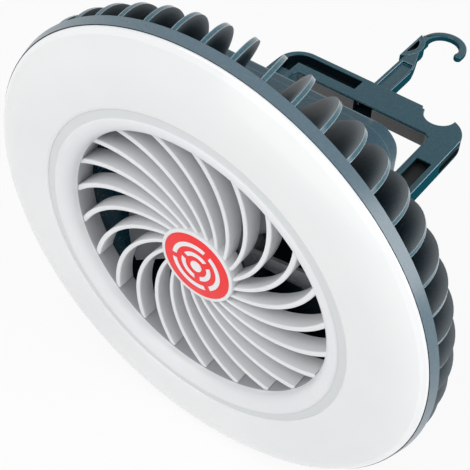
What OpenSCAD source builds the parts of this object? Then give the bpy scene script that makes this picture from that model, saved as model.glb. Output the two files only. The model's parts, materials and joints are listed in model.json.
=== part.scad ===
// Portable camping fan with a ring light, a fold-out carrying frame and a folding hook.
// X runs along the frame's pivot axis, Y along the fan's axis from the face to the back, Z up.
// Depths along Y are counted from the rim's front edge, and X from the fan's axis, or from the
// middle of the carrying frame for the frame's own pieces. The whole part is then moved so that the
// origin lies at the middle of the grip bar. Outlines are drawn as seen from the front.

/* [Rim and fins] */
// Diameter of the rim at its front edge
rim_d = 200; // [196:1:206]
// Depth of the rim band
band_depth = 3.8; // [3.6:0.1:4.4]
// How much the rim band widens towards the back, on the radius
band_flare = 1.3; // [0.6:0.1:2]
// Thickness of the front plate that carries the light ring
plate_t = 1.8; // [1.4:0.1:2]
// Number of fins round the rim
fin_count = 54; // [40:1:58]
// Thickness of a fin
fin_t = 1.7; // [1.2:0.1:2]
// Sweep of the fins against the fan's radius, in degrees
fin_sweep = 18; // [14:1:22]
// Slant of the fins against the fan's axis, in degrees
fin_slant = 5.7; // [0:0.1:8]
// Angle of the first fin, in degrees
fin_phase = 3; // [0:0.1:6]
// Radius of a fin's round edge
fin_r = 20.3; // [19.6:0.1:20.8]
// Width of the air slot between two fins
slot_w = 3.8; // [2.4:0.2:4]

/* [Body] */
// Outer diameter of the drum behind the rim
drum_d = 149; // [148:1:151]
// Wall of the drum, the back box and the covers
wall = 2; // [1.6:0.1:2.2]
// Depth at which the motor floor starts
floor_y = 27; // [26.4:0.2:28]
// Thickness of the motor floor
floor_t = 1.6; // [1.4:0.1:2]
// Width of the back box, along the pivot axis
box_w = 100.4; // [99.4:0.1:102.4]
// Height of the back box
box_h = 122; // [118:1:123]
// Radius of the back box's corners
box_corner_r = 13; // [12.5:0.5:16]
// Depth of the seam between the housing and the rear cover
seam_y = 46; // [45.4:0.2:46.4]
// Depth of the rear cover's outer face
back_y = 51; // [50.8:0.1:51.4]
// Radius of the rear cover's rounded edge
back_edge_r = 2.2; // [1.2:0.2:2.6]

/* [Light ring] */
// How far the lens bulges in front of the rim
lens_rise = 6; // [5:0.2:7]
// Radius of the lens's bulge, as a share of the lens's width
lens_curve = 0.98; // [0.96:0.01:1.08]
// Distance of the lens's highest line from its inner edge, as a share of its width
lens_peak = 0.36; // [0.32:0.01:0.42]
// Width of the bezel between the grille's lip and the lens
bezel_w = 8.8; // [8.4:0.1:9.4]
// Thickness of the lens
lens_t = 1.8; // [1.4:0.1:2]
// Thickness of the light board
board_t = 1.6; // [1.2:0.1:1.7]
// Number of light-emitting diodes in each of the two rows
led_count = 36; // [24:1:40]

/* [Grille] */
// Diameter of the grille's opening
opening_d = 120; // [117:1:120]
// Height of the lip round the opening in front of the rim
lip_rise = 5; // [4.6:0.1:5.4]
// Radius of the lip's curve into the opening
lip_curve_r = 6.2; // [5.4:0.2:6.6]
// Wall of the grille's tube
tube_t = 1.2; // [1:0.1:1.3]
// Depth at which the grille's tube ends
tube_end_y = 9.5; // [9:0.1:9.8]
// Number of vanes
vane_count = 22; // [16:1:26]
// Thickness of a vane
vane_t = 1.6; // [1.2:0.1:2]
// Depth at which the vanes start
vane_y = 1.7; // [1:0.1:2]
// Depth of a vane
vane_depth = 7.4; // [6:0.2:7.4]
// Radius of a vane's curve
vane_curve_r = 50.9; // [49:0.1:53]
// Distance from the fan's axis to the centre of a vane's curve
vane_centre_r = 44.8; // [43.5:0.1:46]
// Angle of the first vane's centre of curve, in degrees
vane_phase = 96.2; // [0:0.5:360]
// Radius of the grille's hub
hub_r = 17; // [16.5:0.1:18]
// Radius of the hub's badge disc
badge_r = 15.4; // [14:0.1:15.4]
// Thickness of the badge disc
badge_t = 0.8; // [0.6:0.1:1.2]

/* [Impeller and motor] */
// Number of impeller blades
blade_count = 7; // [5:1:9]
// Radius of the impeller over the blade tips
impeller_r = 58.5; // [56:0.5:59]
// Radius of the impeller's hub
impeller_hub_r = 16.5; // [15.5:0.1:17]
// Depth at which the impeller starts
impeller_y = 10.6; // [10.4:0.1:10.8]
// Height of the impeller along the axis
impeller_h = 13; // [12.4:0.1:13.2]
// Thickness of a blade
blade_t = 1.5; // [1.2:0.1:1.8]
// Pitch of a blade, in degrees
blade_pitch = 21; // [15:1:23]
// Outer radius of the rotor's can
can_r = 13.3; // [13:0.1:13.6]
// Wall of the rotor's can
can_t = 0.9; // [0.8:0.05:1]
// Diameter of the motor's shaft
shaft_d = 3; // [2.5:0.1:3.1]
// Outer diameter of a motor bearing
bearing_d = 8; // [7.6:0.1:8.2]
// Number of stator teeth
tooth_count = 9; // [6:1:9]

/* [Battery and electronics] */
// Diameter of a battery cell
cell_d = 18.4; // [17.4:0.1:18.6]
// Length of a battery cell
cell_len = 65; // [63:0.5:65.5]
// Gap between two cells
cell_gap = 0.6; // [0.4:0.1:0.8]
// Thickness of the control board
pcb_t = 1.6; // [1.2:0.1:1.8]
// Diameter of a push button
button_d = 12; // [9:0.5:13]
// How far a button stands out of the rear cover
button_proud = 1; // [0.8:0.1:1.4]
// Travel of a button
button_travel = 0.5; // [0.3:0.05:0.55]
// Distance of a button from the middle of the back
button_x = 25; // [22:0.5:26]
// Height of the buttons above the middle of the back
button_z = 34; // [32:0.5:38]
// Width of the charging socket
socket_w = 9; // [8.8:0.1:9.4]
// Height of the charging socket's shell
socket_h = 3.2; // [3:0.1:3.4]

/* [Carrying frame] */
// Width of the frame
frame_w = 93.6; // [93:0.2:96]
// Thickness of the frame
frame_t = 8.2; // [8:0.1:8.6]
// Width of the frame's arms
arm_w = 11.8; // [11.6:0.1:13]
// Depth at which the grip bar ends
grip_far_y = 133.4; // [132.4:0.1:135]
// Width of the grip bar
grip_w = 15.1; // [14.6:0.1:16]
// Sideways offset of the frame's middle from the fan's axis
frame_x = -2.1; // [-2.4:0.1:0]
// Radius of the frame's outer corners
frame_corner_r = 12; // [10:0.5:13]
// Depth of the pivot axis
pivot_y = 55.8; // [55.7:0.1:56.4]
// Diameter of a pivot pin
pivot_d = 4; // [3.5:0.1:4.2]
// Radius of the opener notch in the grip bar
notch_r = 7.2; // [6.4:0.2:7.4]
// Distance of the opener notch from the middle
notch_x = 31.4; // [29:0.1:31.8]
// Depth of the recess in the grip bar
recess_deep = 5.2; // [4:0.2:5.4]
// Depth of the recesses in the arms
channel_deep = 3; // [2:0.2:4]

/* [Hook] */
// Depth of the hook's pivot axis
hook_pivot_y = 125.5; // [125:0.1:126]
// Width of the hook's shank
shank_w = 8.9; // [8.6:0.1:9.6]
// Distance of the shank's middle from the frame's middle
hook_x = 1; // [0.6:0.1:1.4]
// Thickness of the hook
hook_t = 5.2; // [4.8:0.1:5.2]
// Radius of the inside of the bend
throat_r = 7.5; // [7:0.1:7.8]
// Width of the hook round its bend
bend_w = 3.6; // [3.2:0.1:4]
// Thickness of the hook round its bend
bend_t = 3.3; // [3:0.1:4]
// Depth of the bend's centre
bend_y = 180.5; // [179.5:0.1:182]
// Distance of the bend's centre from the middle of the shank
bend_x = 5.3; // [5:0.1:5.6]
// Diameter of the hook's pin
hook_pin_d = 2.6; // [2.4:0.1:2.8]

/* [Fits] */
// Gap between pieces that move against each other
slack = 0.35; // [0.3:0.05:0.45]
// Gap between pieces that are fitted together
seat = 0.05; // [0.02:0.01:0.08]
// Radial clearance of a turning pin or shaft
running = 0.04; // [0.02:0.01:0.06]

/* [Hidden] */
$fn = 96;

cut = 1;                                  // how far a cutting tool runs past what it cuts
big = 200;                                // half the size of a cutting block
rim_r = rim_d / 2;
band_r = rim_r + band_flare;
plate_y = band_depth - plate_t;
board_y = plate_y - board_t;
drum_r = drum_d / 2;
opening_r = opening_d / 2;
tube_r = opening_r + tube_t;
pivot_to_back = pivot_y - back_y;
shaft_r = shaft_d / 2;
bearing_r = bearing_d / 2;
grip_in_y = grip_far_y - grip_w;
grip_y = (grip_far_y + grip_in_y) / 2;    // the origin of the part

// Fins and slots. A fin is a flat round leaf, turned about its outer end and then slanted a little.
drum_wall = wall + 0.2;
fin_centre = [rim_r + 0.8 - fin_r, band_depth + 4.7];
fin_outer_r = rim_r + 0.8;
fin_len = fin_outer_r * cos(fin_sweep) - sqrt(pow(drum_r - drum_wall / 2, 2) - pow(fin_outer_r * sin(fin_sweep), 2));
fin_root_angle = atan2(fin_len * sin(fin_sweep), fin_outer_r - fin_len * cos(fin_sweep));
fin_pitch = 360 / fin_count;
slot_front_y = 9;
slot_end_margin = 1.5;                    // from the slot's end to the motor floor

// Light ring
lens_in_r = opening_r + lip_curve_r + bezel_w;
lens_peak_r = lens_in_r + lens_peak * (rim_r - lens_in_r);
lens_curve_r = lens_curve * (rim_r - lens_in_r);
lens_out_r = rim_r - 0.3;
lens_seat_r = rim_r - 3;                  // the lens's foot lies on the band outside this radius
lens_centre_y = lens_curve_r - lens_rise;
bevel_r = rim_r - 2.4;                    // where the polished bevel meets the bulge
bevel_step = 0.06;                        // step that lets the bevel lie just under the bulge
bevel_y = lens_centre_y - sqrt(pow(lens_curve_r, 2) - pow(bevel_r - lens_peak_r, 2)) + bevel_step;
led_size = [3.5, 2.8];
led_h = 0.9;

// Grille
lip_r = opening_r + lip_curve_r;
bezel_ledge_r = lens_in_r + 1.2;
ledge_y = -2.2;
ledge_t = 1;
groove_y = -4.3;
hub_proud = 0.3;                          // how far the hub stands in front of the vanes
hub_y = vane_y - hub_proud;
inlay_t = 0.25;
shroud_in_r = tube_r + 0.2;
shroud_t = 1.2;
shroud_end_y = floor_y - 4;
grille_screw = [1.1, 1.7, 1.2];           // radius of the shank and head, height of the head
grille_screw_r = shroud_in_r + shroud_t + grille_screw[1] + 0.15;
grille_screw_count = 6;
bezel_foot_r = grille_screw_r + grille_screw[0] + 0.95;

// Light board between the grille's foot and the lens's foot, with its two rows of diodes
board_in_r = bezel_foot_r + 2;
board_out_r = lens_seat_r - 2;
led_rows = [board_in_r + 0.33 * (board_out_r - board_in_r), board_out_r - 0.25 * (board_out_r - board_in_r)];

// Motor, from the floor towards the face
base_t = 1.6;
base_r = 17;
base_y = floor_y - base_t;
bearing_tube_t = 1.3;
bearing_w = 4;
bearing_tube_y = impeller_y + 3.9;        // front end of the bearing tube
hub_front_t = 1.8;
can_y = impeller_y + hub_front_t + seat;
can_front_t = 1;
can_end_y = base_y - 1.6;
magnet_t = 0.8;
air_gap = 0.4;
stator_r = can_r - can_t - magnet_t - air_gap;
stator_y = can_y + can_front_t + 2.2;
stator_h = 5.6;
tooth_w = 1.7;
shoe_t = 0.9;
yoke_t = 1.5;
winding_t = 0.9;
clip_t = 0.6;
clip_r = shaft_r + 1.6;
motor_screw_r = 14.2;                     // radius of the ring of motor screws
motor_screw_count = 3;

// Back box
cover_in_y = back_y - wall;
floor_end_y = floor_y + floor_t;
box_in = [box_w / 2 - wall, box_h / 2 - wall];
post_at = [box_w / 2 - 7.6, box_h / 2 - 7.6];
post_r = 3.8;
screw_r = 1.25;                           // shank of a cover screw
screw_head_r = 2.5;
screw_head_t = 1.5;
screw_len = 12;
cover_rebate = 1.2;                       // depth of the cover's inner rim inside the housing
rebate_t = 1.2;

// Battery: as many cells side by side as the box holds between its posts, in a tray on the motor floor
cell_r = cell_d / 2;
cell_pitch = cell_d + cell_gap;
cell_count = floor((2 * (post_at[0] - post_r) + cell_gap) / cell_pitch);
tray_floor = 1.2;
cell_y = floor_end_y + seat + tray_floor + cell_r;
cell_low_z = -box_in[1] + 2.4;
cell_high_z = cell_low_z + cell_len;
tray_side = 1.4;
tray_h = 8;
tab_t = 0.3;
tab_w = 4;
tab_end = 4;                              // how far a tab runs past the middles of its two cells
function cell_x(i) = (i - (cell_count - 1) / 2) * cell_pitch;

// Control board, hung from the rear cover above the cells
pcb_back_y = cover_in_y - 3.4;
pcb_y = pcb_back_y - pcb_t;
pcb_low_z = cell_high_z + 3.4;
pcb_high_z = box_in[1] - 2.4;
pcb_half_w = box_in[0] - 3;
pcb_notch = 11;                           // corner cut from the board round the cover's posts
standoff_r = 2.7;
standoff_at = [pcb_half_w - pcb_notch - 5, [pcb_low_z + 4, pcb_high_z - 4]];
board_screw_r = 1.1;
board_screw_head = [2, 1.1];
board_blocks = [[-0.27, 0.5, 12, 6, 12], [0.2, 0.5, 9, 1.6, 9], [0.5, 0.3, 10, 5, 6]];
board_caps = [[0.5, 0.64], [0.7, 0.64]];
board_cap = [3.2, 8];                     // radius and height
button_r = button_d / 2;
flange_r = button_r + 1.4;
flange_t = 0.9;
button_foot_y = cover_in_y - slack / 2 - flange_t;
switch_size = 6;
switch_gap = 0.08;                        // left between switch and button when pressed
switch_top_y = button_foot_y - button_travel - switch_gap;
plunger_r = 1.6;
plunger_h = 0.5;
light_count = 4;
light_pitch = 5;
light_r = 1.3;
light_z = pcb_low_z + 6.5;
socket_len = 7.4;
socket_z = button_z - 4;
socket_wall = 0.35;

// Carrying frame
frame_half = frame_w / 2;
arm_in = frame_half - arm_w;
frame_end_r = frame_t / 2;
window_corner_r = 3;
rim_keep = 2.6;                           // width of the rim left round a recess
washer_t = 1;
lug_out = arm_in - washer_t - 2 * seat;   // the hinge lugs stand between the arms
lug_w = 10.8;
lug_r = frame_end_r + 0.4;
pin_head = [3.2, 1.8];
pivot_r = pivot_d / 2;
notch_tooth = 1.6;
right_channel_end_y = 102.6;
channel_start_y = pivot_y + 12;
channel_w = arm_w - 2 * rim_keep;
recess_in_x = -7.3;
groove_z = [0.9, 1.7];                    // groove round the window, from and to below the top face
groove_deep = 0.6;
side_recess = [106, grip_far_y - 2, 1, -frame_t / 2 + 1.4, frame_t / 2 - 1.7]; // from, to, depth and heights

// Hook
shank_half = shank_w / 2;
slot_half = shank_half + slack;
slot_roof = 1.2;                          // wall of the grip bar over the hook's slot
slot_floor_z = -hook_t / 2 - slack;
slot_bridge_y = hook_pivot_y - hook_t / 2 - slack; // the slot is open below from here outwards
hook_pin_r = hook_pin_d / 2;
hook_pin_half = 7.6;
shank_rim = [1.7, 1];                     // rims left of and right of the shank's recess
shank_floor_deep = 1.2;
bend_out_r = throat_r + bend_w;
tip_angle = -12;
neck_y = 150;                             // where the shank starts to narrow, over this length
neck_len = 27;
recess_end_y = 157;
shank_draw = shank_half - bend_x + throat_r;
eye_block = [-6.2, -0.1, 159.6, 179.6];   // from and to along X and Y, round the eye and the eye itself
eye = [-5.2, -2.7, 163.4, 175.4];

// ---------- helpers ----------

// Moves a piece from the rim's own depths to the part's origin
module placed() translate([-frame_x, -grip_y, 0]) children();

// The same for a piece that is drawn from the middle of the carrying frame
module placed_frame() translate([0, -grip_y, 0]) children();

// An outline seen from the front, given depth from y0 to y1
module slab(y0, y1) translate([0, y1, 0]) rotate([90, 0, 0]) linear_extrude(y1 - y0) children();

// A profile of radius and depth, turned round the fan's axis
module turned() rotate([-90, 0, 0]) rotate_extrude() children();

// A ring round the fan's axis
module ring(r_in, r_out, y0, y1) slab(y0, y1) difference() { circle(r_out); circle(r_in); }

// A disc round the fan's axis
module disc(r, y0, y1) slab(y0, y1) circle(r);

// A cylinder along X
module bar_x(r, x0, x1) translate([x0, 0, 0]) rotate([0, 90, 0]) cylinder(r = r, h = x1 - x0);

// Copies round the fan's axis
module around(count, start = 0)
    for (i = [0:count - 1]) rotate([0, -start - i * 360 / count, 0]) children();

// A rounded rectangle round the middle
module rounded(w, h, r) {
    square([w - 2 * r, h], center = true);
    square([w, h - 2 * r], center = true);
    for (x = [-1, 1], z = [-1, 1]) translate([x * (w / 2 - r), z * (h / 2 - r)]) circle(r);
}

// Points of an arc, from angle a0 to a1
function arc(centre, r, a0, a1, steps = 12) =
    [for (i = [0:steps]) let (a = a0 + (a1 - a0) * i / steps) centre + r * [cos(a), sin(a)]];

module at_posts() for (x = [-1, 1], z = [-1, 1]) translate([x * post_at[0], 0, z * post_at[1]]) children();
module at_standoffs()
    for (x = [-1, 1], z = standoff_at[1]) translate([x * standoff_at[0], 0, z]) children();
module at_grille_screws() around(grille_screw_count, 15) translate([grille_screw_r, 0, 0]) children();
module at_motor_screws() around(motor_screw_count, 90) translate([motor_screw_r, 0, 0]) children();

// ---------- housing ----------

// One swept fin, with its outer end on the X axis
module fin() translate([fin_outer_r, band_depth, 0]) rotate([0, fin_sweep, 0]) rotate([fin_slant, 0, 0])
    translate([-fin_outer_r, -band_depth, -fin_t / 2]) linear_extrude(fin_t) intersection() {
        translate(fin_centre) circle(fin_r);
        translate([fin_outer_r - fin_len, plate_y + plate_t / 2]) square([big, big]);
    }

// One air slot in the drum, on the X axis
module air_slot() translate([0, band_depth, 0]) rotate([fin_slant, 0, 0])
    translate([drum_r - drum_wall - 2 * cut, slot_front_y - band_depth, -slot_w / 2])
        cube([drum_wall + 4 * cut, floor_y - slot_end_margin - slot_front_y, slot_w]);

module housing_shell() {
    turned() polygon([[rim_r, 0], [band_r, band_depth], [tube_r + 0.2, band_depth], [tube_r + 0.2, plate_y],
                      [lens_seat_r, plate_y], [lens_seat_r, 0]]);
    ring(shroud_in_r, shroud_in_r + shroud_t, plate_y + plate_t / 2, shroud_end_y);
    difference() {
        ring(drum_r - drum_wall, drum_r, plate_y + plate_t / 2, floor_end_y);
        around(fin_count, fin_phase + fin_root_angle + fin_pitch / 2) air_slot();
    }
    disc(drum_r - drum_wall / 2, floor_y, floor_end_y);
    slab(floor_y + floor_t / 2, seam_y) difference() {
        rounded(box_w, box_h, box_corner_r);
        rounded(2 * box_in[0], 2 * box_in[1], box_corner_r - wall);
    }
    around(fin_count, fin_phase) fin();
    at_posts() disc(post_r, floor_y + floor_t / 2, seam_y - cover_rebate - seat);
}

module housing() placed() color("#33505c") difference() {
    housing_shell();
    at_posts() disc(screw_r + seat, back_y - screw_head_t - screw_len - cut, seam_y);
    at_grille_screws() disc(grille_screw[0] + seat, plate_y - cut, band_depth + cut);
    at_motor_screws() {
        disc(screw_r + seat, floor_y - cut, floor_end_y + cut);
        disc(screw_head_r + seat, floor_end_y - screw_head_t + 0.5, floor_end_y + cut);
    }
    disc(bearing_r, floor_y - cut, floor_end_y + cut);
    translate([-box_w / 2, pcb_y - socket_h / 2, socket_z]) rotate([0, 90, 0])
        translate([0, 0, -cut]) linear_extrude(wall + 2 * cut)
            rounded(socket_w + 2 * slack, socket_h + 2 * slack, socket_h / 2);
}

// ---------- rear cover ----------

// Cover outline rounded towards the back along both directions
module cover_block() intersection() {
    slab(seam_y, back_y) rounded(box_w, box_h, box_corner_r);
    edge_profile(box_w, true);
    edge_profile(box_h, false);
}

// A bar across the cover with its two far edges rounded
module edge_profile(w, along_z) rotate([0, along_z ? 0 : 90, 0]) translate([0, 0, -big / 2])
    linear_extrude(big) {
        translate([-w / 2, seam_y]) square([w, back_y - back_edge_r - seam_y]);
        translate([-w / 2 + back_edge_r, seam_y]) square([w - 2 * back_edge_r, back_y - seam_y]);
        for (x = [-1, 1]) translate([x * (w / 2 - back_edge_r), back_y - back_edge_r]) circle(back_edge_r);
    }

// A hinge lug on the right, rounded round the pivot axis
module lug() difference() {
    intersection() {
        union() {
            translate([0, pivot_y, 0]) bar_x(lug_r, lug_out - lug_w, lug_out);
            translate([lug_out - lug_w, back_y - wall / 2, -lug_r]) cube([lug_w, pivot_y - back_y + wall / 2, 2 * lug_r]);
        }
        translate([0, back_y - wall, -big / 2]) cube([big, big, big]);
    }
    translate([0, pivot_y, 0]) bar_x(pivot_r + seat, lug_out - lug_w + wall, lug_out + cut);
}

module rear_cover() placed() color("#33505c") difference() {
    union() {
        difference() {
            cover_block();
            slab(seam_y - cut, cover_in_y) rounded(2 * box_in[0], 2 * box_in[1], box_corner_r - wall);
        }
        slab(seam_y - cover_rebate, cover_in_y + wall / 2) difference() {
            rounded(2 * (box_in[0] - seat), 2 * (box_in[1] - seat), box_corner_r - wall);
            rounded(2 * (box_in[0] - rebate_t), 2 * (box_in[1] - rebate_t), box_corner_r - wall - rebate_t / 2);
        }
        translate([frame_x, 0, 0]) for (side = [0, 1]) mirror([side, 0, 0]) lug();
        at_standoffs() disc(standoff_r, pcb_back_y, cover_in_y + wall / 2);
        at_posts() disc(post_r - 0.6, seam_y - cover_rebate, cover_in_y + wall / 2);
    }
    at_posts() {
        disc(screw_r + seat, seam_y - 2 * cover_rebate, back_y + cut);
        disc(screw_head_r + seat, back_y - screw_head_t, back_y + cut);
    }
    at_standoffs() disc(board_screw_r + seat, pcb_back_y - cut, cover_in_y + wall / 4);
    for (x = [-1, 1]) translate([x * button_x, 0, button_z]) disc(button_r + slack, cover_in_y - cut, back_y + cut);
    at_lights() disc(light_r + seat, cover_in_y - cut, back_y + cut);
}

// ---------- light ring and grille ----------

module light_lens() placed() color("white") turned() difference() {
    union() {
        intersection() {
            translate([lens_peak_r, lens_centre_y]) circle(lens_curve_r);
            translate([lens_in_r, -big]) square([bevel_r - lens_in_r, big]);
        }
        polygon([[bevel_r - lens_t, bevel_y], [bevel_r, bevel_y], [lens_out_r - 0.5, bevel_y / 2], [lens_out_r, 0],
                 [bevel_r - lens_t, 0]]);
    }
    intersection() {
        translate([lens_peak_r, lens_centre_y]) circle(lens_curve_r - lens_t);
        translate([0, -big]) square([lens_seat_r - 0.5, 2 * big]);
    }
    translate([0, 0]) square([big, big]);
}

// The vanes' outline seen from the front
module vane_outline() intersection() {
    difference() { circle(opening_r + tube_t / 2); circle(hub_r - 1); }
    translate([0, -big]) square([big, 2 * big]);
    translate([0, vane_centre_r]) difference() {
        circle(vane_curve_r + vane_t / 2);
        circle(vane_curve_r - vane_t / 2);
    }
}

module front_grille() placed() color("whitesmoke") difference() {
    union() {
        turned() polygon(concat(
            [[lens_in_r - seat, groove_y + 0.1], [lip_r + 2, groove_y], [lip_r + 1.2, -lip_rise + 0.1]],
            arc([lip_r, lip_curve_r - lip_rise], lip_curve_r, 270, 180),
            [[opening_r, tube_end_y], [tube_r, tube_end_y], [tube_r, plate_y], [bezel_foot_r, plate_y],
             [bezel_foot_r, ledge_y + ledge_t], [bezel_ledge_r, ledge_y + ledge_t], [bezel_ledge_r, ledge_y],
             [lens_in_r - seat, ledge_y]]));
        around(vane_count, vane_phase - 90) slab(vane_y, vane_y + vane_depth) vane_outline();
        disc(hub_r, hub_y, vane_y + vane_depth - hub_proud);
    }
    disc(badge_r + seat, hub_y - cut, hub_y + badge_t + seat);
    at_grille_screws() disc(grille_screw[0] + seat, -1, plate_y + cut);
}

module hub_badge() placed() color("#e8343a") disc(badge_r, hub_y, hub_y + badge_t);

// A plain pattern of broken rings round a dot, in shares of the badge's radius
module badge_inlay() placed() color("white") slab(hub_y - inlay_t, hub_y) {
    circle(0.17 * badge_r);
    for (r = [0.39, 0.675]) difference() {
        circle((r + 0.065) * badge_r);
        circle((r - 0.065) * badge_r);
        for (a = [0:120:240]) rotate(a + 90 * r) translate([0, -0.085 * badge_r]) square([big, 0.17 * badge_r]);
    }
}

module light_board() placed() color("#e9ece6") ring(board_in_r, board_out_r, board_y, plate_y);

module light_diodes() placed() color("#fff2c4")
    for (row = [0:len(led_rows) - 1]) around(led_count, row * 180 / led_count)
        translate([led_rows[row], 0, 0]) slab(board_y - led_h, board_y) square(led_size, center = true);

// ---------- impeller and motor ----------

// One cambered, pitched blade, swept back towards its tip
module blade() {
    mid_y = impeller_y + impeller_h / 2 + 0.4;
    camber_r = 60;
    intersection() {
        translate([0, mid_y, 0]) rotate([blade_pitch, 0, 0]) translate([0, camber_r, 0]) difference() {
            bar_x(camber_r + blade_t / 2, impeller_hub_r - 1, impeller_r + cut);
            bar_x(camber_r - blade_t / 2, impeller_hub_r - 2, impeller_r + 2 * cut);
        }
        slab(impeller_y + 0.5, impeller_y + impeller_h) intersection() {
            circle(impeller_r);
            polygon([[impeller_hub_r - 1, -5.5], [impeller_r - 6, -19], [impeller_r + cut, -17], [impeller_r + cut, 8],
                     [impeller_hub_r - 1, 5.5]]);
        }
    }
}

module impeller() placed() color("#2a2f33") difference() {
    union() {
        disc(impeller_hub_r, impeller_y, impeller_y + impeller_h);
        around(blade_count, 8) blade();
    }
    disc(can_r + seat, impeller_y + hub_front_t, impeller_y + impeller_h + cut);
    disc(shaft_r + seat, impeller_y - cut, impeller_y + impeller_h);
}

module motor_shaft() placed() color("silver") disc(shaft_r, impeller_y + 0.4, base_y + base_t - 0.3);

module shaft_clip() placed() color("dimgray")
    ring(shaft_r + seat / 2, clip_r, base_y + base_t - 0.5 - clip_t, base_y + base_t - 0.5);

module rotor_can() placed() color("#9aa0a6") {
    ring(can_r - can_t, can_r, can_y, can_end_y);
    ring(shaft_r + seat / 2, can_r - can_t / 2, can_y, can_y + can_front_t);
}

module rotor_magnet() placed() color("#3a3a3a")
    ring(can_r - can_t - magnet_t, can_r - can_t - seat / 2, stator_y - 0.8, can_end_y - 0.4);

module tooth_outline(grow = 0) intersection() {
    circle(stator_r - shoe_t / 2);
    translate([bearing_r + bearing_tube_t + yoke_t / 2, -tooth_w / 2 - grow]) square([big, tooth_w + 2 * grow]);
}

module stator_core() placed() color("#7d8288") {
    ring(bearing_r + bearing_tube_t + seat, bearing_r + bearing_tube_t + yoke_t, stator_y, stator_y + stator_h);
    around(tooth_count) slab(stator_y, stator_y + stator_h) tooth_outline();
    slab(stator_y, stator_y + stator_h) difference() {
        circle(stator_r);
        circle(stator_r - shoe_t);
        for (i = [0:tooth_count - 1]) rotate((i + 0.5) * 360 / tooth_count) translate([0, -0.6]) square([big, 1.2]);
    }
}

// One copper coil round each tooth
module stator_windings() placed() color("#b5652b") around(tooth_count) {
    coil_in = bearing_r + bearing_tube_t + yoke_t + 0.3;
    coil_out = stator_r - shoe_t - 0.3;
    difference() {
        translate([coil_in, stator_y - winding_t, -tooth_w / 2 - winding_t])
            cube([coil_out - coil_in, stator_h + 2 * winding_t, tooth_w + 2 * winding_t]);
        translate([coil_in - cut, stator_y - seat, -tooth_w / 2 - seat])
            cube([coil_out - coil_in + 2 * cut, stator_h + 2 * seat, tooth_w + 2 * seat]);
    }
}

module motor_bearings() placed() color("gainsboro")
    for (y = [bearing_tube_y + 0.4, base_y - bearing_w - 0.6])
        ring(shaft_r + running, bearing_r - seat / 2, y, y + bearing_w);

module motor_base() placed() color("#b9bec3") difference() {
    union() {
        disc(base_r, base_y, floor_y);
        disc(bearing_r + bearing_tube_t, bearing_tube_y, floor_y);
    }
    disc(bearing_r, bearing_tube_y - cut, floor_y + cut);
    at_motor_screws() disc(screw_r + seat, base_y - cut, floor_y + cut);
}

// ---------- screws ----------

// A screw whose head is at the back, from the tip at y0 to the top of the head at y1
module screw_back(y0, y1, r, head) {
    disc(r, y0, y1 - head[1] / 2);
    disc(head[0], y1 - head[1], y1);
}

// The same screw seen from the other side: its head is at the front
module screw_front(y0, y1, r, head) {
    disc(head[0], y0, y0 + head[1]);
    disc(r, y0 + head[1] / 2, y1);
}

module cover_screws() placed() color("dimgray")
    at_posts() screw_back(back_y - screw_head_t - screw_len, back_y - 0.2, screw_r, [screw_head_r, screw_head_t - 0.2]);

module motor_screws() placed() color("dimgray")
    at_motor_screws() screw_back(base_y + 0.1, floor_end_y, screw_r, [screw_head_r - seat, screw_head_t - 0.6]);

module grille_screws() placed() color("dimgray")
    at_grille_screws() screw_back(-0.6, band_depth + grille_screw[2], grille_screw[0], [grille_screw[1], grille_screw[2]]);

module board_screws() placed() color("dimgray")
    at_standoffs() screw_front(pcb_y - board_screw_head[1], cover_in_y, board_screw_r, board_screw_head);

// ---------- battery ----------

module cells(grow, z0, z1) for (i = [0:cell_count - 1])
    translate([cell_x(i), cell_y, z0]) cylinder(r = cell_r + grow, h = z1 - z0);

module battery_tray() placed() color("#d9dcd8") {
    half_w = cell_x(cell_count - 1) + cell_r + tray_side;
    difference() {
        translate([-half_w, floor_end_y + seat, cell_low_z - tray_side])
            cube([2 * half_w, tray_h, cell_len + 2 * tray_side]);
        cells(seat, cell_low_z - tab_t - seat, cell_high_z + tab_t + seat);
        at_posts() disc(post_r + slack, floor_y, seam_y);
    }
}

module battery_cells() placed() color("#3f7fbf") cells(0, cell_low_z, cell_high_z);

// Nickel strips that join the cells at both ends
module cell_tabs() placed() color("gainsboro")
    for (z = [cell_low_z - tab_t, cell_high_z], i = [0:2:cell_count - 2])
        translate([cell_x(i) - tab_end, cell_y - tab_w / 2, z]) cube([cell_pitch + 2 * tab_end, tab_w, tab_t]);

// ---------- controls ----------

module at_lights() for (i = [0:light_count - 1])
    translate([(i - (light_count - 1) / 2) * light_pitch, 0, light_z]) children();

module control_board() placed() color("#1f6b3a") difference() {
    slab(pcb_y, pcb_back_y) difference() {
        translate([-pcb_half_w, pcb_low_z]) square([2 * pcb_half_w, pcb_high_z - pcb_low_z]);
        for (x = [-1, 1]) translate([x * pcb_half_w, pcb_high_z]) square(2 * pcb_notch, center = true);
    }
    at_standoffs() disc(board_screw_r + seat, pcb_y - cut, pcb_back_y + cut);
}

// Inductor, controller, connector and capacitors on the board's front side. Each has its middle as
// shares of the board's half width and its height, and a block has its size after that.
module board_parts() placed() color("#2b2b2b") {
    board_h = pcb_high_z - pcb_low_z;
    for (b = board_blocks)
        translate([b[0] * pcb_half_w - b[2] / 2, pcb_y - b[3], pcb_low_z + b[1] * board_h - b[4] / 2])
            cube([b[2], b[3], b[4]]);
    for (c = board_caps) translate([c[0] * pcb_half_w, 0, pcb_low_z + c[1] * board_h])
        disc(board_cap[0], pcb_y - board_cap[1], pcb_y);
}

module button_switches() placed() color("#202020")
    for (x = [-1, 1]) translate([x * button_x, 0, button_z]) {
        slab(pcb_back_y, switch_top_y - plunger_h) square(switch_size, center = true);
        disc(plunger_r, switch_top_y - plunger_h, switch_top_y);
    }

module button(x) placed() translate([x, 0, button_z]) {
    disc(flange_r, button_foot_y, button_foot_y + flange_t);
    disc(button_r, button_foot_y + flange_t / 2, back_y + button_proud);
}

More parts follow.
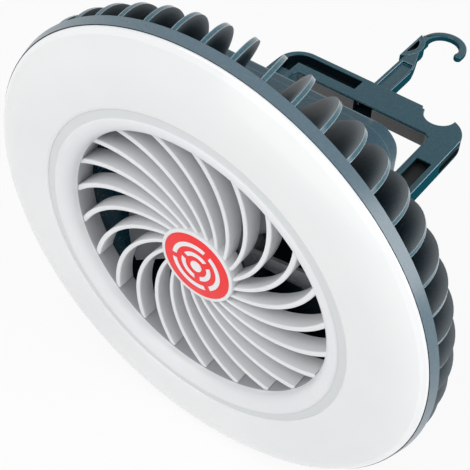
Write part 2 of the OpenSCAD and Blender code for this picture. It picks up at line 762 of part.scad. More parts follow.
module fan_button() color("#1d2a31") button(-button_x);
module light_button() color("#1d2a31") button(button_x);

module charge_lights() placed() color("#cfeedd") at_lights() {
    disc(light_r, cover_in_y - 0.6, back_y);
    disc(light_r + 0.7, pcb_back_y, cover_in_y - seat);
}

module charge_socket() placed() color("silver")
    translate([-box_w / 2 + 0.6, pcb_y - socket_h / 2, socket_z]) rotate([0, 90, 0]) difference() {
        linear_extrude(socket_len) rounded(socket_w, socket_h, socket_h / 2 - 0.1);
        translate([0, 0, -cut]) linear_extrude(socket_len + cut - socket_wall)
            rounded(socket_w - 2 * socket_wall, socket_h - 2 * socket_wall, socket_h / 2 - socket_wall - 0.1);
    }

// ---------- carrying frame ----------

// Frame outline in X and Y, before its ends are rounded
// Opening between the arms, drawn larger by g all round
module window_outline(g = 0) {
    half = arm_in + g;
    far = grip_in_y + g;
    r = window_corner_r + g;
    translate([-half, pivot_y - frame_t]) square([2 * half, far - r - pivot_y + frame_t]);
    translate([-half + r, pivot_y]) square([2 * (half - r), far - pivot_y]);
    for (x = [-1, 1]) translate([x * (half - r), far - r]) circle(r);
}

module frame_outline() difference() {
    union() {
        translate([-frame_half, pivot_y - frame_end_r])
            square([frame_w, grip_far_y - frame_corner_r - pivot_y + frame_end_r]);
        translate([-frame_half + frame_corner_r, grip_far_y - 2 * frame_corner_r])
            square([frame_w - 2 * frame_corner_r, 2 * frame_corner_r]);
        for (x = [-1, 1]) translate([x * (frame_half - frame_corner_r), grip_far_y - frame_corner_r]) circle(frame_corner_r);
    }
    window_outline();
    translate([notch_x, grip_far_y - 0.7]) circle(notch_r);
    translate([notch_x - notch_r - notch_tooth, grip_far_y - notch_tooth]) square([notch_tooth + cut, 2 * notch_tooth]);
}

// Recess that runs along the left half of the grip bar and down the left arm
module left_recess() {
    out = frame_half - rim_keep;
    corner = frame_corner_r - rim_keep;
    far = grip_far_y - rim_keep;
    intersection() {
        union() {
            translate([-out, channel_start_y]) square([2 * out, far - corner - channel_start_y]);
            translate([-out + corner, channel_start_y]) square([2 * (out - corner), far - channel_start_y]);
            translate([-out + corner, far - corner]) circle(corner);
        }
        union() {
            translate([-out, grip_far_y - 9.4]) square([out + recess_in_x, 9.4]);
            translate([-out, channel_start_y]) square([channel_w, far - channel_start_y]);
        }
    }
}

module frame() placed_frame() color("#3b5763") difference() {
    intersection() {
        translate([0, 0, -frame_t / 2]) linear_extrude(frame_t) frame_outline();
        union() {
            translate([0, pivot_y, 0]) bar_x(frame_end_r, -frame_half - cut, frame_half + cut);
            translate([-big, pivot_y, -frame_t / 2 - cut]) cube([2 * big, big, frame_t + 2 * cut]);
        }
    }
    translate([0, 0, frame_t / 2 - recess_deep]) linear_extrude(recess_deep + cut) intersection() {
        left_recess();
        translate([-big, grip_far_y - 14]) square([2 * big, big]);
    }
    translate([0, 0, frame_t / 2 - channel_deep]) linear_extrude(channel_deep + cut) left_recess();
    translate([arm_in + rim_keep, channel_start_y, frame_t / 2 - channel_deep])
        cube([channel_w, right_channel_end_y - channel_start_y, channel_deep + cut]);
    translate([0, pivot_y, 0]) bar_x(pivot_r + running, -frame_half - cut, frame_half + cut);
    for (x = [-1, 1]) translate([x * frame_half, pivot_y, 0]) bar_x(pin_head[0] + slack, -pin_head[1] - slack, pin_head[1] + slack);
    translate([hook_x - slot_half, grip_in_y - cut, slot_floor_z])
        cube([2 * slot_half, grip_w + 2 * cut, frame_t / 2 - slot_roof - slot_floor_z]);
    translate([hook_x - slot_half, slot_bridge_y, -frame_t / 2 - cut]) cube([2 * slot_half, grip_w, frame_t / 2]);
    translate([0, 0, frame_t / 2 - groove_z[1]]) linear_extrude(groove_z[1] - groove_z[0]) intersection() {
        window_outline(groove_deep);
        translate([-big / 2, channel_start_y]) square(big);
    }
    translate([frame_half - side_recess[2], side_recess[0], side_recess[3]])
        cube([big, side_recess[1] - side_recess[0], side_recess[4] - side_recess[3]]);
    translate([hook_x, hook_pivot_y, 0]) bar_x(hook_pin_r + seat / 2, -hook_pin_half - 0.1, hook_pin_half + 0.1);
}

// Two shouldered pins that hold the frame's arms to the lugs
module pivot_pins() placed_frame() color("silver") for (side = [0, 1]) mirror([side, 0, 0])
    translate([0, pivot_y, 0]) {
        bar_x(pivot_r, lug_out - lug_w + wall + 0.3, frame_half - pin_head[1] / 2);
        bar_x(pin_head[0], frame_half - pin_head[1], frame_half);
    }

module friction_washers() placed_frame() color("#b08d57") for (side = [0, 1]) mirror([side, 0, 0])
    translate([0, pivot_y, 0]) difference() {
        bar_x(frame_end_r - 0.3, lug_out + seat, lug_out + seat + washer_t);
        bar_x(pivot_r + running, lug_out - cut, arm_in + cut);
    }

// ---------- hook ----------

// Right edge of the shank, drawn in to the root of the bend
module shank_outline() difference() {
    polygon(concat(
        [[-shank_half, hook_pivot_y - hook_t / 2], [shank_half, hook_pivot_y - hook_t / 2]],
        [for (i = [0:12]) let (s = i / 12) [shank_half - shank_draw * (3 * s * s - 2 * s * s * s), neck_y + neck_len * s]],
        [[bend_x - throat_r, bend_y], [bend_x - bend_out_r + 0.3, bend_y], [-shank_half, neck_y + neck_len]]));
    translate([bend_x, bend_y]) circle(throat_r);
}

module bend_outline() {
    tip = [bend_x, bend_y] + (throat_r + bend_w / 2) * [cos(tip_angle), sin(tip_angle)];
    difference() {
        translate([bend_x, bend_y]) circle(bend_out_r);
        translate([bend_x, bend_y]) circle(throat_r);
        translate([bend_x, bend_y]) polygon([[0, 0], big * [cos(tip_angle), sin(tip_angle)], [big, -big], [-big, -big],
                                             [-big, 0]]);
    }
    translate(tip) circle(bend_w / 2 + 0.2);
}

module hook() placed_frame() color("#3b5763") translate([hook_x, 0, 0]) difference() {
    union() {
        intersection() {
            translate([0, 0, -hook_t / 2]) linear_extrude(hook_t) shank_outline();
            union() {
                translate([0, hook_pivot_y, 0]) bar_x(hook_t / 2, -shank_w, shank_w);
                translate([-big / 2, hook_pivot_y, -hook_t]) cube([big, big, 2 * hook_t]);
                translate([-big / 2, hook_pivot_y - hook_t, -hook_t]) cube([big, 2 * hook_t, hook_t]);
            }
        }
        translate([0, 0, -bend_t / 2]) linear_extrude(bend_t) bend_outline();
        translate([0, 0, -hook_t / 2 - 0.4]) linear_extrude(hook_t + 0.8) d_outline(eye_block);
    }
    for (side = [0, 1]) mirror([0, 0, side]) translate([0, 0, hook_t / 2 - shank_floor_deep]) linear_extrude(hook_t)
        intersection() {
            translate([-shank_half + shank_rim[0], grip_far_y + 1.5]) square([big, recess_end_y - grip_far_y - 1.5]);
            translate([-shank_rim[1], 0]) shank_outline();
        }
    translate([0, 0, -hook_t]) linear_extrude(2 * hook_t) d_outline(eye);
    translate([0, hook_pivot_y, 0]) bar_x(hook_pin_r + running, -shank_w, shank_w);
}

// A D-shaped outline, bowed to the right, from and to along X and Y
module d_outline(at) {
    half = (at[3] - at[2]) / 2;
    bow = at[1] - at[0];
    bow_r = (half * half + bow * bow) / (2 * bow);
    intersection() {
        translate([at[1] - bow_r, (at[2] + at[3]) / 2]) circle(bow_r);
        translate([at[0], at[2]]) square([big, 2 * half]);
    }
}

module hook_pin() placed_frame() color("silver")
    translate([hook_x, hook_pivot_y, 0]) bar_x(hook_pin_r, -hook_pin_half, hook_pin_half);

housing();
rear_cover();
light_lens();
front_grille();
hub_badge();
badge_inlay();
light_board();
light_diodes();
impeller();
motor_shaft();
shaft_clip();
rotor_can();
rotor_magnet();
stator_core();
stator_windings();
motor_bearings();
motor_base();
motor_screws();
grille_screws();
battery_tray();
battery_cells();
cell_tabs();
control_board();
board_parts();
board_screws();
button_switches();
fan_button();
light_button();
charge_lights();
charge_socket();
cover_screws();
frame();
pivot_pins();
friction_washers();
hook();
hook_pin();
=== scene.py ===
import json
import math

import bmesh
import bpy
from mathutils import Matrix, Vector


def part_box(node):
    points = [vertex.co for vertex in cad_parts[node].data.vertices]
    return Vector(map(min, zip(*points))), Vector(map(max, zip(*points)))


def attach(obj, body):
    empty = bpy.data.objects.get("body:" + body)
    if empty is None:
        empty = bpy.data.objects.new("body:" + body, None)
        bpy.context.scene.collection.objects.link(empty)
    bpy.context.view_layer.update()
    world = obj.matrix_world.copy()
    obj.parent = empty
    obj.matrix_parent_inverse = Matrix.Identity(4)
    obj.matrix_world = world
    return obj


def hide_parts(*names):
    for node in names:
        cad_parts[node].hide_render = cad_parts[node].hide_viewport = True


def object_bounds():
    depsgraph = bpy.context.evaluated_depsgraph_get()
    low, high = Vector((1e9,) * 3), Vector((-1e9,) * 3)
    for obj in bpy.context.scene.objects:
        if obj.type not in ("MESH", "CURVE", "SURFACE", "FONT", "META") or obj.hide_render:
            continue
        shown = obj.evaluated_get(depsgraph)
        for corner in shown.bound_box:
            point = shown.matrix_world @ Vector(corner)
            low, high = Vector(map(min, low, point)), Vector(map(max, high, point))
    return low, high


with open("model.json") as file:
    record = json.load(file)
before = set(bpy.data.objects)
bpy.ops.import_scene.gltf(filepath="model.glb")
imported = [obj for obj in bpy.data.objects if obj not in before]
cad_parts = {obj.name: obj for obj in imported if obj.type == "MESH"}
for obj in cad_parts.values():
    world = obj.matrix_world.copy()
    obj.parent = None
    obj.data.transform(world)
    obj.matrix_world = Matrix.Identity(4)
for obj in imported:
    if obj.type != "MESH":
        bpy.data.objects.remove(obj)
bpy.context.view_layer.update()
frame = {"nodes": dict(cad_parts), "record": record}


# ---------------------------------------------------------------- places

MM = 0.001
BOARD_LO, BOARD_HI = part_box("light_board")
FRAME_LO, FRAME_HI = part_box("frame")
HOOK_LO, HOOK_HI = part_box("hook")
AXIS_X = (BOARD_LO.x + BOARD_HI.x) / 2          # the fan's axis runs along Y through here
AXIS_Z = (BOARD_LO.z + BOARD_HI.z) / 2
RIM_Y = BOARD_HI.y - 2 * MM                     # the rim's front edge, with larger y further back


def at(x, y, z):
    """A point given in mm from the fan's axis and the rim's front edge."""
    return Vector((AXIS_X + x * MM, RIM_Y + y * MM, AXIS_Z + z * MM))


def place_of(point):
    """A point's place in mm from the fan's axis and the rim's front edge, the reverse of at()."""
    return (point.x - AXIS_X) / MM, (point.y - RIM_Y) / MM, (point.z - AXIS_Z) / MM


# All that follows is in mm, as at() and place_of() have it.
# The lens: radii of its inner wall, crest and seam, and its wall's thickness
LENS_IN, LENS_PEAK, LENS_SEAM, LENS_WALL = 70.8, 84.0, 97.2, 1.8
LENS_RISE = 6.0                                 # from the rim's front edge to the crest
DOME_OUT, DOME_IN = 24.5, 78.0                  # radius of the dome's curve outside and inside the crest
BEVEL_R = 97.6                                  # outside this radius the lens is polished

# The grille: radii of its hub and its opening
HUB_R, OPEN_R = 17.0, 60.0
LIP_CENTRE, LIP_AXES = (66.2, 0.6), (5.95, 5.6)  # the lip's round section, a quarter of an ellipse
VALLEY_R = 67.3                                 # outside this radius the lip is the valley, painted grey as its shade
TUBE_R, TUBE_Y = 60.2, 0.5                      # inside and behind these it is the tube's wall, painted darker grey as shade

# The vanes
VANES, VANE_STEPS = 22, 48
VANE_R, VANE_C = 46.96, 40.63                   # a vane's arc, and its centre's distance from the axis
VANE_T, VANE_D, VANE_Y = 1.6, 7.4, 2.3          # thickness, depth, and the front edge at the hub
VANE_TAPER = 0.82                               # share of the thickness at the back edge
VANE_PHASE = 96.07                              # degrees round the fan's axis to the first arc's centre
VANE_SPREAD = 0.012                             # share thicker for each mm from the hub
VANE_RISE = 0.031                               # mm nearer the front for each mm from the hub

# The shell: a fin's disc (its centre's radius and depth, and its own radius) and the rim's band
FIN_AT, FIN_R, FIN_FOOT = (80.5, 8.5), 20.3, 76.0
BAND_R, BAND_Y = 99.98, 3.85                    # the band lies outside this radius and before this depth
MOTOR_R, MOTOR_Y = 63, 40                       # the space round the impeller, its radius and depth
BOX_X, BOX_Z = 48, 59                           # the box's inside, to each side of the axis
BED_Y = 3                                       # back of the light ring's bed

# The carrying frame: its top, thickness, middle and right side, and its grip bar's two faces
TOP_Z = (FRAME_HI.z - AXIS_Z) / MM
FRAME_T = (FRAME_HI.z - FRAME_LO.z) / MM
MID_Z = TOP_Z - FRAME_T / 2
ARM_X = (FRAME_HI.x - AXIS_X) / MM
GRIP_FAR = (FRAME_HI.y - RIM_Y) / MM
GRIP_NEAR = GRIP_FAR - 15.1
SLOT_X = (-11.5, 9.3)                           # the hook's slot in the grip bar
WINDOW_X, WINDOW_HALF = -2.1, 35.5              # the hand's window, its middle and half its width
FOOT_END = 34                                   # the arms' feet at the pivots end here
POCKET_AT, POCKET_FROM = (-28, GRIP_FAR - 7), GRIP_FAR - 13.9    # the left pocket's middle and near edge
RECESS_FROM = 105                               # near end of the recess in the right side
POCKET_FLOOR = TOP_Z - 7                        # below the floors of the pocket and of the recess
CHANNEL_X, CHANNEL_Y = (35, 42.6), (30, 104)    # the channel in the right arm's top
BRIDGE_Y, BRIDGE_TO_Y = (122.3, 122.8), 122.85  # edge of the bridge under the hook, as built and as moved
BRIDGE_Z, BRIDGE_TO_Z = (MID_Z - 3.2, MID_Z - 2.7), MID_Z - 2.52    # the same for that edge's top

# The hook: the middle of its thickness, and the depths at which its parts end or start
HOOK_MID_Z = ((HOOK_LO.z + HOOK_HI.z) / 2 - AXIS_Z) / MM
SLOT_END, SHANK_END, CREST_END, EYE_END, BEND_FROM = 126, 150, 158, 165, 180
EYE_X, EYE_Y = (-6.6, -3.5), (163.2, 175.6)     # the window between the shank and the bend

# ---------------------------------------------------------------- materials


class Graph:
    """A small helper that adds nodes to a node tree and links them."""

    def __init__(self, tree, output):
        self.tree = tree
        self.tree.nodes.clear()
        self.out = self.tree.nodes.new(output).inputs[0]

    def node(self, kind, settings=None, **inputs):
        n = self.tree.nodes.new(kind)
        for k, v in (settings or {}).items():
            setattr(n, k, v)
        for k, v in inputs.items():
            self.put(n.inputs[k.replace("_", " ")], v)
        return n

    def put(self, socket, value):
        if isinstance(value, bpy.types.NodeSocket):
            self.tree.links.new(value, socket)
        else:
            socket.default_value = value

    def math(self, op, a, b=0.0, clamp=False):
        n = self.node("ShaderNodeMath", {"operation": op, "use_clamp": clamp})
        self.put(n.inputs[0], a)
        self.put(n.inputs[1], b)
        return n.outputs[0]

    def shader_mix(self, share, a, b):
        """Mixes two shader nodes and gives the mix to the output."""
        n = self.node("ShaderNodeMixShader")
        self.put(n.inputs[0], share)
        self.put(n.inputs[1], a.outputs[0])
        self.put(n.inputs[2], b.outputs[0])
        self.put(self.out, n.outputs[0])

    def background_rays(self):
        """1 for the rays that show the background: the camera's, and those off gloss or through glass."""
        path = self.node("ShaderNodeLightPath").outputs
        other = self.math("MAXIMUM", path["Is Glossy Ray"], path["Is Transmission Ray"])
        return self.math("MAXIMUM", path["Is Camera Ray"], other)


class Surface(Graph):
    """A material with a Principled shader, and textures by the object's own coordinates."""

    def __init__(self, name):
        self.mat = bpy.data.materials.new(name)
        self.mat.use_nodes = True
        super().__init__(self.mat.node_tree, "ShaderNodeOutputMaterial")
        self.bsdf = self.node("ShaderNodeBsdfPrincipled")
        self.put(self.out, self.bsdf.outputs[0])
        self.coord = self.node("ShaderNodeTexCoord").outputs["Object"]

    def noise(self, scale, detail=3.0, rough=0.5, coord=None):
        return self.node("ShaderNodeTexNoise", Vector=coord or self.coord, Scale=scale, Detail=detail,
                         Roughness=rough).outputs["Fac"]

    def span(self, value, from_lo, from_hi, to_lo, to_hi):
        """Maps a value from one range to another, and keeps it there."""
        n = self.node("ShaderNodeMapRange")
        self.put(n.inputs[0], value)
        for i, v in enumerate((from_lo, from_hi, to_lo, to_hi)):
            n.inputs[i + 1].default_value = v
        return n.outputs[0]

    def mix(self, share, a, b):
        """The colour a, with a share of the colour b."""
        n = self.node("ShaderNodeMix", {"data_type": "RGBA"})
        self.put(n.inputs[0], share)
        for i, c in ((6, a), (7, b)):
            self.put(n.inputs[i], c if isinstance(c, bpy.types.NodeSocket) else (*c, 1.0))
        return n.outputs[2]

    def bump(self, height, strength, distance):
        """A normal that follows a height, with the distance in metres."""
        return self.node("ShaderNodeBump", Height=height, Strength=strength, Distance=distance).outputs[0]

    def length(self, a, b):
        """The length of the vector (a, b)."""
        return self.math("SQRT", self.math("ADD", self.math("MULTIPLY", a, a), self.math("MULTIPLY", b, b)))

    def edge_mask(self, radius):
        """1 on edges and 0 on flat faces, from the normal and one smoothed over a radius in metres."""
        soft = self.node("ShaderNodeBevel", {"samples": 6}, Radius=radius).outputs[0]
        dot = self.node("ShaderNodeVectorMath", {"operation": "DOT_PRODUCT"})
        self.put(dot.inputs[0], soft)
        self.put(dot.inputs[1], self.node("ShaderNodeNewGeometry").outputs["Normal"])
        return self.span(dot.outputs["Value"], 0.995, 0.86, 0.0, 1.0)

    def set(self, **inputs):
        """Gives the shader a value or a link for each socket named, and returns the material."""
        for k, v in inputs.items():
            self.put(self.bsdf.inputs[k.replace("_", " ")], v)
        return self.mat


def srgb(*c):
    """A colour given as it shows on a screen, from 0 to 255, as the shader takes it."""
    return tuple(v / 255 / 12.92 if v / 255 <= 0.04045 else ((v / 255 + 0.055) / 1.055) ** 2.4 for v in c)


def moulded(name, base, dark, edge, rough, grain=900.0, grain_depth=0.00003, wear_and_highlight=0.5, coat=0.0,
            cloud=0.6, shine=0.5, painted_shade=None):
    """Moulded plastic: fine spark-eroded grain, faint flow marks, and lighter, smoother edges, partly wear,
    partly painted highlight.
    The last argument may give a 0 to 1 value from the surface that takes the colour from dark to base, as
    painted shade."""
    g = Surface(name)
    flow = g.noise(14.0)
    fine = g.noise(grain, detail=2.0, rough=0.6)
    scuff = g.noise(140.0, detail=5.0, rough=0.65)
    # A given ramp takes the colour towards the dark tone: painted shade.
    if painted_shade:
        flow = g.math("ADD", g.math("MULTIPLY", g.math("SUBTRACT", flow, 0.5), 0.15), painted_shade(g))
        color = g.mix(g.span(flow, 0.0, 1.0, 1.0, 0.0), base, dark)
    else:
        color = g.mix(g.math("MULTIPLY", g.span(flow, 0.3, 0.7, 1.0, 0.0), cloud), base, dark)
    color = g.mix(g.math("MULTIPLY", g.span(fine, 0.45, 0.8, 0.0, 1.0), 0.08), color, edge)
    # Edges lighten towards the edge colour: partly wear, partly a painted highlight.
    if wear_and_highlight:
        mask = g.math("MULTIPLY", g.edge_mask(0.0006), g.span(scuff, 0.25, 0.7, 0.55, 1.0), clamp=True)
        color = g.mix(g.math("MULTIPLY", mask, wear_and_highlight), color, edge)
    texture = g.math("ADD", g.math("MULTIPLY", scuff, 0.6), g.math("MULTIPLY", fine, 0.4))
    return g.set(Base_Color=color, Roughness=g.span(texture, 0.3, 0.75, rough - 0.04, rough + 0.06),
                 Normal=g.bump(fine, 0.12, grain_depth), Specular_IOR_Level=shine, Coat_Weight=coat,
                 Coat_Roughness=0.2)


def satin_white(name, base, shade, rough=0.35, coat=0.15, glow=0.0):
    """Satin plastic with a faint cloudiness and an orange-peel skin. glow is its subsurface weight."""
    g = Surface(name)
    cloud = g.noise(11.0)
    peel = g.noise(160.0, detail=2.0, rough=0.45)
    g.set(Base_Color=g.mix(g.span(cloud, 0.3, 0.75, 0.0, 1.0), shade, base),
          Roughness=g.span(peel, 0.3, 0.7, rough - 0.05, rough + 0.07),
          Normal=g.bump(peel, 0.08, 0.00003), Coat_Weight=coat, Coat_Roughness=0.12)
    if glow:
        g.set(Subsurface_Weight=glow, Subsurface_Radius=(0.004, 0.004, 0.004), Subsurface_Scale=1.0)
    return g.mat


def metal(name, tint, rough, brushed=None):
    """Ground or plated metal with fine scratches, drawn out along an axis (0, 1 or 2) if brushed."""
    g = Surface(name)
    stretch = [400.0, 400.0, 400.0]
    if brushed is not None:
        stretch[brushed] = 12.0
    line = g.node("ShaderNodeMapping", Vector=g.coord, Scale=tuple(stretch)).outputs[0]
    streak = g.noise(6.0, detail=4.0, rough=0.7, coord=line)
    stain = g.noise(90.0)
    color = g.mix(g.span(stain, 0.3, 0.7, 0.0, 1.0), tuple(0.82 * v for v in tint), tint)
    return g.set(Base_Color=color, Metallic=1.0, Normal=g.bump(streak, 0.15, 0.00002),
                 Roughness=g.span(streak, 0.3, 0.7, rough - 0.08, rough + 0.12))


def fin_shade_reach(g):
    """0 over a fin's middle and 1 at its round edge, for painted shade that darkens the fin's face towards
    its middle.
    """
    part = g.node("ShaderNodeSeparateXYZ", Vector=g.coord).outputs
    r = g.length(g.math("SUBTRACT", part[0], AXIS_X), g.math("SUBTRACT", part[2], AXIS_Z))
    out = g.math("DIVIDE", g.math("SUBTRACT", r, FIN_AT[0] * MM), FIN_R * MM)
    deep = g.math("DIVIDE", g.math("SUBTRACT", part[1], RIM_Y + FIN_AT[1] * MM), FIN_R * MM)
    return g.math("POWER", g.span(g.length(out, deep), 0.5, 1.0, 0.0, 1.0), 3.0)


def channel_shade_reach(g):
    """0 at the arm channel's far end and 1 at its near end, for painted shade that is black at the far end.
    """
    y = g.node("ShaderNodeSeparateXYZ", Vector=g.coord).outputs[1]
    return g.span(y, RIM_Y + 92 * MM, RIM_Y + 78 * MM, 0.0, 1.0)


SHELL_TONES = (0.012, 0.066, 0.098), (0.009, 0.054, 0.083), (0.22, 0.38, 0.46)
ARM_TONES = (0.011, 0.073, 0.104), (0.009, 0.062, 0.09)

MATS = {
    # the shell and the frame, with their painted places
    "shell": moulded("moulded_shell", *SHELL_TONES, rough=0.26, wear_and_highlight=0.35, cloud=0.3),
    "cover": moulded("moulded_cover", *SHELL_TONES, rough=0.3, wear_and_highlight=0.35),
    # fin faces: painted shade, darkest over a fin's middle and lighter at its round edge
    "fin": moulded("fin_face_shaded", (0.19, 0.215, 0.23), (0.0, 0.016, 0.028), (0.3, 0.38, 0.42),
                   rough=0.45, wear_and_highlight=0.5, grain_depth=0.00001, shine=0.12, painted_shade=fin_shade_reach),
    # fin rims: a lighter teal copy of the shell's plastic with strong pale edges, a painted highlight
    "fin_rim_highlight": moulded("fin_rim_highlight", (0.014, 0.1, 0.14), (0.011, 0.085, 0.12), (0.6, 0.72, 0.78),
                       rough=0.22, wear_and_highlight=0.9, cloud=0.3, coat=0.3),
    # the rim's band: a lighter blue-grey copy of the shell's plastic, painted light
    "band": moulded("band_face_lit", (0.06, 0.12, 0.16), (0.052, 0.108, 0.145), (0.3, 0.42, 0.5),
                    rough=0.3, wear_and_highlight=0.0, cloud=0.4, coat=0.3, shine=0.8),
    # the frame's and hook's edges lighten strongly: partly wear, partly a painted highlight
    "carry": moulded("moulded_carry", *ARM_TONES, (0.3, 0.47, 0.55),
                     rough=0.3, wear_and_highlight=0.45, cloud=0.3, shine=0.36),
    "hook": moulded("moulded_hook", *ARM_TONES, (0.4, 0.58, 0.66),
                    rough=0.24, wear_and_highlight=0.8, cloud=0.3, shine=0.4),
    # side faces: a matte, darker copy of the frame's plastic without pale edges, painted shade
    "side": moulded("arm_side_shaded", (0.007, 0.072, 0.1), (0.005, 0.058, 0.082), (0.02, 0.13, 0.17),
                    rough=0.6, wear_and_highlight=0.3, cloud=0.5, shine=0.0),
    # pale blue: a painted highlight for rounded edges
    "crest": moulded("arm_edge_highlight", (0.36, 0.56, 0.66), (0.25, 0.43, 0.53), (0.5, 0.65, 0.72),
                     rough=0.25, wear_and_highlight=0.0),
    # channel floor: painted shade, black at the far end, lighter grey-green at the near end
    "channel": moulded("channel_floor_shaded", (0.035, 0.055, 0.062), (0.002, 0.004, 0.005),
                       (0.05, 0.07, 0.08), rough=0.5, wear_and_highlight=0.0, shine=0.25, painted_shade=channel_shade_reach),
    # the grip bar's inner face: light warm grey, a painted reflection
    "warm_reflection": moulded("window_face_reflection", (0.13, 0.12, 0.115), (0.08, 0.078, 0.078), (0.4, 0.4, 0.4),
                    rough=0.3, wear_and_highlight=0.5, cloud=1.0),
    # black: painted shade for walls, pockets and slots that lie in shadow
    "inside": moulded("black_shade", (0.003, 0.009, 0.013), (0.002, 0.006, 0.009),
                      (0.02, 0.03, 0.036), rough=0.5, wear_and_highlight=0.2, shine=0.12),
    # the lens, the grille and the badge
    "lens": satin_white("frosted_lens", (0.88, 0.89, 0.885), (0.80, 0.815, 0.812), rough=0.2, coat=0.3),
    "lens_bevel": satin_white("polished_bevel", (0.90, 0.91, 0.915), (0.86, 0.87, 0.875),
                              rough=0.1, coat=0.8),
    "grille": satin_white("satin_grille", (0.84, 0.845, 0.855), (0.79, 0.795, 0.81),
                          rough=0.34, coat=0.1),
    # the lip's valley: a grey copy of the grille's white, painted shade
    "valley": satin_white("lip_valley_shade", (0.72, 0.735, 0.74), (0.68, 0.695, 0.70), coat=0.1),
    # the tube's wall: a dark grey copy of the grille's white, painted shade
    "tube": satin_white("tube_wall_shade", (0.40, 0.41, 0.43), (0.36, 0.37, 0.39), rough=0.4, coat=0.0),
    "badge": satin_white("red_badge", (0.95, 0.012, 0.016), (0.9, 0.01, 0.013), rough=0.4, coat=0.0),
    "inlay": satin_white("white_print", (0.88, 0.88, 0.88), (0.84, 0.84, 0.85), rough=0.36, coat=0.0),
    # the moving and the small pieces
    "blade": moulded("dark_blade", (0.24, 0.25, 0.265), (0.16, 0.17, 0.185), (0.45, 0.46, 0.47),
                     rough=0.16, wear_and_highlight=0.5, grain=500.0, grain_depth=0.00001, coat=0.6),
    "button": moulded("button_plastic", srgb(26, 52, 64), srgb(20, 44, 55), srgb(90, 120, 132),
                      rough=0.5, wear_and_highlight=0.4),
    "light_pipe": satin_white("light_pipe", (0.72, 0.85, 0.78), (0.66, 0.8, 0.73), rough=0.25, glow=0.2),
    "steel": metal("ground_steel", (0.62, 0.63, 0.65), rough=0.25, brushed=0),
    "zinc": metal("zinc_plate", (0.5, 0.51, 0.53), rough=0.35),
    "brass_wave": metal("spring_brass", (0.66, 0.46, 0.2), rough=0.3),
    # the pieces inside
    "board_white": satin_white("white_solder_resist", (0.78, 0.80, 0.78), (0.72, 0.74, 0.72), rough=0.4),
    "diode": satin_white("phosphor", (0.9, 0.82, 0.45), (0.85, 0.75, 0.38)),
    "magnet": moulded("ferrite", (0.05, 0.05, 0.055), (0.035, 0.035, 0.04), (0.12, 0.12, 0.13), rough=0.6),
    "core": metal("laminations", (0.36, 0.37, 0.39), rough=0.42, brushed=1),
    "copper": metal("enamelled_copper", (0.62, 0.26, 0.11), rough=0.3, brushed=1),
    "base_metal": metal("die_cast", (0.6, 0.62, 0.64), rough=0.5),
    "tray": moulded("tray_plastic", (0.6, 0.61, 0.58), (0.55, 0.56, 0.53), (0.75, 0.75, 0.73), rough=0.45),
    "cell": moulded("shrink_sleeve", (0.05, 0.2, 0.5), (0.04, 0.17, 0.44), (0.15, 0.35, 0.6),
                    rough=0.25, grain=200.0, coat=0.4),
    "nickel": metal("nickel_strip", (0.66, 0.65, 0.62), rough=0.3, brushed=0),
    "pcb": moulded("green_resist", (0.015, 0.12, 0.045), (0.01, 0.095, 0.035), (0.1, 0.25, 0.12),
                   rough=0.25, grain=300.0, coat=0.4),
    "component": moulded("packages", (0.012, 0.012, 0.014), (0.008, 0.008, 0.01), (0.06, 0.06, 0.065),
                         rough=0.5),
}
SLOT_OF = {s["node"]: s["material_slot"] for s in frame["record"]["subparts"]}

for node, obj in frame["nodes"].items():
    obj.data.materials.clear()
    obj.data.materials.append(MATS[SLOT_OF[node]])
    for face in obj.data.polygons:
        face.material_index = 0

# ---------------------------------------------------------------- mesh helpers

SHARP = 32.0                                    # degrees between faces from which an edge shows sharp
ROUND_FROM = 30.0                               # degrees from which an edge of a CAD shape is rounded


def shade_smooth(mesh, sharp=SHARP):
    """Smooth faces, with creases at sharp edges."""
    for face in mesh.polygons:
        face.use_smooth = True
    mesh.set_sharp_from_angle(angle=math.radians(sharp))


def finish_mesh(name, bm, material, sharp=SHARP):
    """Turns a bmesh into an object of the material with that key in MATS."""
    bmesh.ops.recalc_face_normals(bm, faces=bm.faces)
    mesh = bpy.data.meshes.new(name)
    bm.to_mesh(mesh)
    bm.free()
    mesh.materials.append(MATS[material])
    shade_smooth(mesh, sharp)
    obj = bpy.data.objects.new(name, mesh)
    bpy.context.scene.collection.objects.link(obj)
    return obj


def bake(obj):
    """Applies an object's modifiers to its mesh."""
    graph = bpy.context.evaluated_depsgraph_get()
    graph.update()
    mesh = bpy.data.meshes.new_from_object(obj.evaluated_get(graph))
    obj.modifiers.clear()
    obj.data = mesh


def refined(name, node, body, material, width, segments=2, share=None):
    """A copy of a CAD node's shape with its edges rounded by width mm, which then stands for the node.
    share(x, y, z) may give the part of that width which an edge gets, at its middle."""
    bm = bmesh.new()
    bm.from_mesh(frame["nodes"][node].data)
    bmesh.ops.remove_doubles(bm, verts=bm.verts, dist=2e-7)
    bmesh.ops.dissolve_limit(bm, angle_limit=math.radians(0.6), verts=bm.verts, edges=bm.edges, delimit=set())
    if share:
        layer = bm.edges.layers.float.new("bevel_weight_edge")
        for e in bm.edges:
            if len(e.link_faces) == 2 and e.calc_face_angle(0.0) > math.radians(ROUND_FROM):
                e[layer] = share(*place_of((e.verts[0].co + e.verts[1].co) / 2))
    obj = finish_mesh(name, bm, material)
    mod = obj.modifiers.new("round", "BEVEL")
    mod.width = width * MM
    mod.segments = segments
    mod.limit_method = "WEIGHT" if share else "ANGLE"
    mod.angle_limit = math.radians(ROUND_FROM)
    mod.use_clamp_overlap = not share
    mod.miter_outer = "MITER_ARC"
    bake(obj)
    shade_smooth(obj.data)
    mod = obj.modifiers.new("normals", "WEIGHTED_NORMAL")
    mod.keep_sharp = True
    mod.weight = 80
    bake(obj)
    stands_for(obj, node, body)
    return obj


def stands_for(obj, node, body):
    """Puts a piece in a CAD node's place: hangs it on its body and hides the node."""
    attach(obj, body)
    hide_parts(node)


